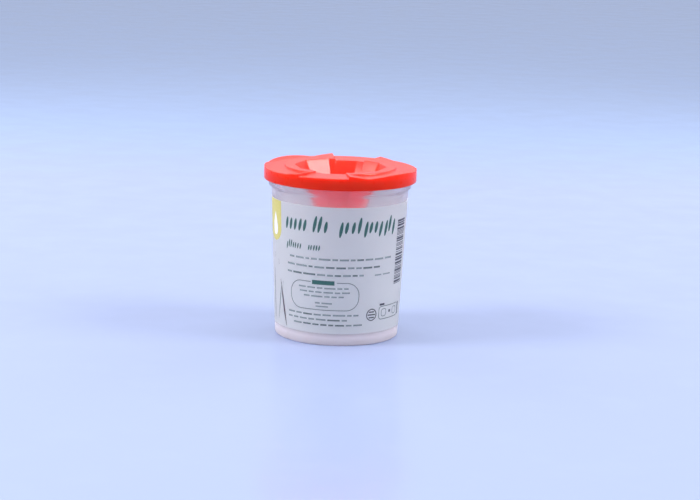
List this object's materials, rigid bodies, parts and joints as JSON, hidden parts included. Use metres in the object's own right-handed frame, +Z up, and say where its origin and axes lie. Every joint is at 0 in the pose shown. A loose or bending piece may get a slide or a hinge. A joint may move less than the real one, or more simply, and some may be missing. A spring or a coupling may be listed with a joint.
{
  "type": "paint jar",
  "caption": "Children's non-spill paint jar: a tapered translucent cup with a wrap-around label and a push-on lid with a faceted funnel and brush rests.",
  "frame": {"origin": "centre of the flat base, on the surface the jar stands on", "axes": "+Z up along the cup's axis; -Y is the printed front; +X is to the right of a person who faces the front"},
  "size_m": [0.075, 0.075, 0.0845],
  "materials": {
    "pot_plastic": "milky translucent polypropylene, satin moulded surface",
    "label_film": null,
    "lid_plastic": "glossy orange-red moulded polypropylene"
  },
  "bodies": {
    "cup": {"pot": "pot_plastic", "label": "label_film"},
    "cover": {"lid": "lid_plastic"}
  },
  "joints": [
    {"name": "lid_lift", "type": "slide", "parent": "cup", "child": "cover", "axis": [0, 0, 1], "range_m": [0, 0.045]}
  ]
}
